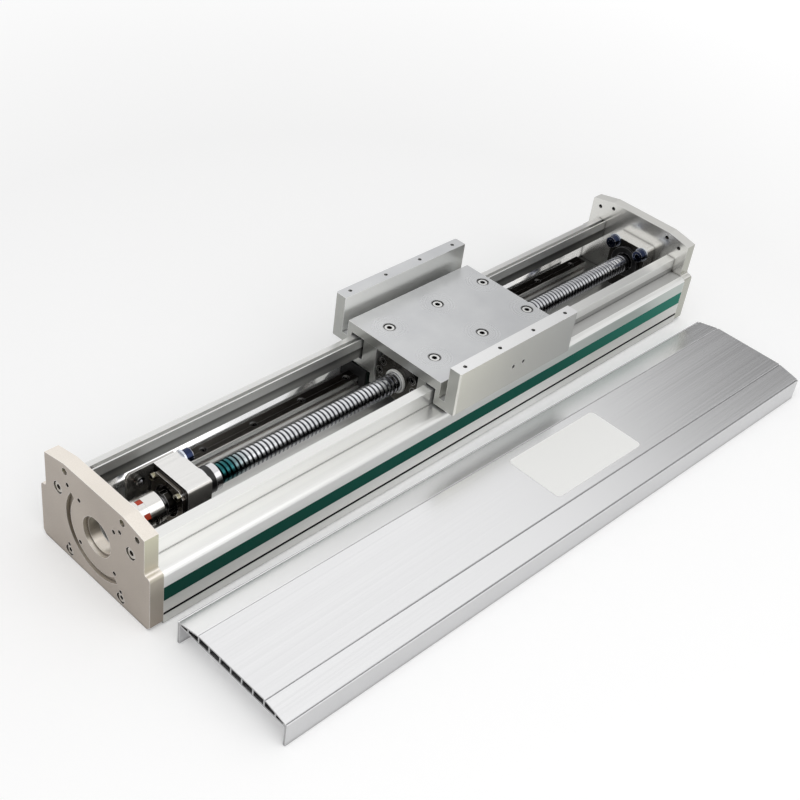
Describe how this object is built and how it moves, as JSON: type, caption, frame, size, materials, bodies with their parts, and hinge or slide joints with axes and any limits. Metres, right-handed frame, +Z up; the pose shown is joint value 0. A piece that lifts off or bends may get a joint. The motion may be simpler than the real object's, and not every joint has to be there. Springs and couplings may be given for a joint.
{
  "type": "ball screw linear module",
  "caption": "Enclosed ball screw linear module: aluminium base with two rails, bearing blocks, a carriage with two uprights, and its lift-off cover laid beside it.",
  "frame": {"origin": "centre of the base's bottom face, half way between the end plates", "axes": "+X along the module from the motor end to the tail end, +Y across it away from the laid-down cover, +Z up"},
  "size_m": [0.764, 0.3279, 0.1118],
  "materials": {
    "anodised_extrusion": "fine drawn satin anodising",
    "green_strip": "smooth decorative strip",
    "blasted_plate": "bead-blasted, faintly warm, with machined edges",
    "black_screw": "black oxide",
    "block_steel": "ground top, dark milled faces",
    "black_plate": "black oxide plate",
    "brass_screw": "yellow zinc",
    "bearing_steel": "polished",
    "blue_zinc": "blue zinc",
    "rail_steel": "ground sides, dark top",
    "screw_steel": "rolled and polished",
    "stop_rubber": "matt black",
    "hub_alloy": "fine turned",
    "red_spider": "elastomer",
    "milled_carriage": "fine milled, clear anodised",
    "socket_steel": "plated",
    "nut_steel": "ground",
    "white_wiper": "white",
    "cap_plastic": "moulded",
    "seal_rubber": "matt black",
    "cover_alloy": "brushed along its length, anodised",
    "label_film": "satin white film"
  },
  "bodies": {
    "base": {"base_extrusion": "anodised_extrusion", "side_strip_near": "green_strip", "side_strip_far": "green_strip", "drive_end_plate": "blasted_plate", "tail_end_plate": "blasted_plate", "drive_plate_screws": "black_screw", "tail_plate_screws": "black_screw", "drive_bearing_block": "block_steel", "drive_block_base_screws": "black_screw", "bearing_retainer": "black_plate", "retainer_screws": "brass_screw", "drive_bearing_outer_rings": "bearing_steel", "drive_bearing_balls": "bearing_steel", "drive_block_bolt": "blue_zinc", "drive_block_washer": "blue_zinc", "coupling_stay": "black_plate", "stay_screws": "socket_steel", "tail_bearing_block": "block_steel", "tail_block_bolts": "blue_zinc", "tail_block_washers": "blue_zinc", "tail_bearing_outer_ring": "bearing_steel", "tail_bearing_balls": "bearing_steel", "tail_bearing_cap": "stop_rubber", "rail_near": "rail_steel", "rail_far": "rail_steel", "rail_screws_near": "black_screw", "rail_screws_far": "black_screw"},
    "screw": {"ball_screw": "screw_steel", "screw_collar": "socket_steel", "stop_ring": "stop_rubber", "lock_nut": "black_screw", "coupling_hub_screw": "hub_alloy", "coupling_spider": "red_spider", "coupling_hub_motor": "hub_alloy", "coupling_clamp_screws": "black_screw", "drive_bearing_inner_rings": "bearing_steel", "tail_bearing_inner_ring": "bearing_steel", "retaining_ring": "black_screw"},
    "carriage": {"carriage_table": "milled_carriage", "table_screws": "socket_steel", "saddle": "milled_carriage", "ball_nut": "nut_steel", "nut_flange_screws": "black_screw", "nut_wipers": "white_wiper", "rail_block_near_drive": "nut_steel", "rail_block_near_tail": "nut_steel", "rail_block_far_drive": "nut_steel", "rail_block_far_tail": "nut_steel", "rail_block_end_caps": "cap_plastic", "rail_block_seals": "seal_rubber", "rail_block_screws": "black_screw"},
    "cover": {"top_cover": "cover_alloy", "cover_label": "label_film"}
  },
  "joints": [
    {"name": "carriage_slide", "type": "slide", "parent": "base", "child": "carriage", "axis": [1, 0, 0], "range_m": [-0.21, 0.19]},
    {"name": "screw_spin", "type": "hinge", "parent": "base", "child": "screw", "pos_m": [0, -0.004, 0.0535], "axis": [1, 0, 0], "continuous": true},
    {"name": "cover_lift", "type": "slide", "parent": "base", "child": "cover", "axis": [0, 0, 1], "range_m": [0, 0.12]}
  ],
  "couplings": [
    {"joint": "screw_spin", "follows": "carriage_slide", "rad_per_m": -1256.6}
  ]
}
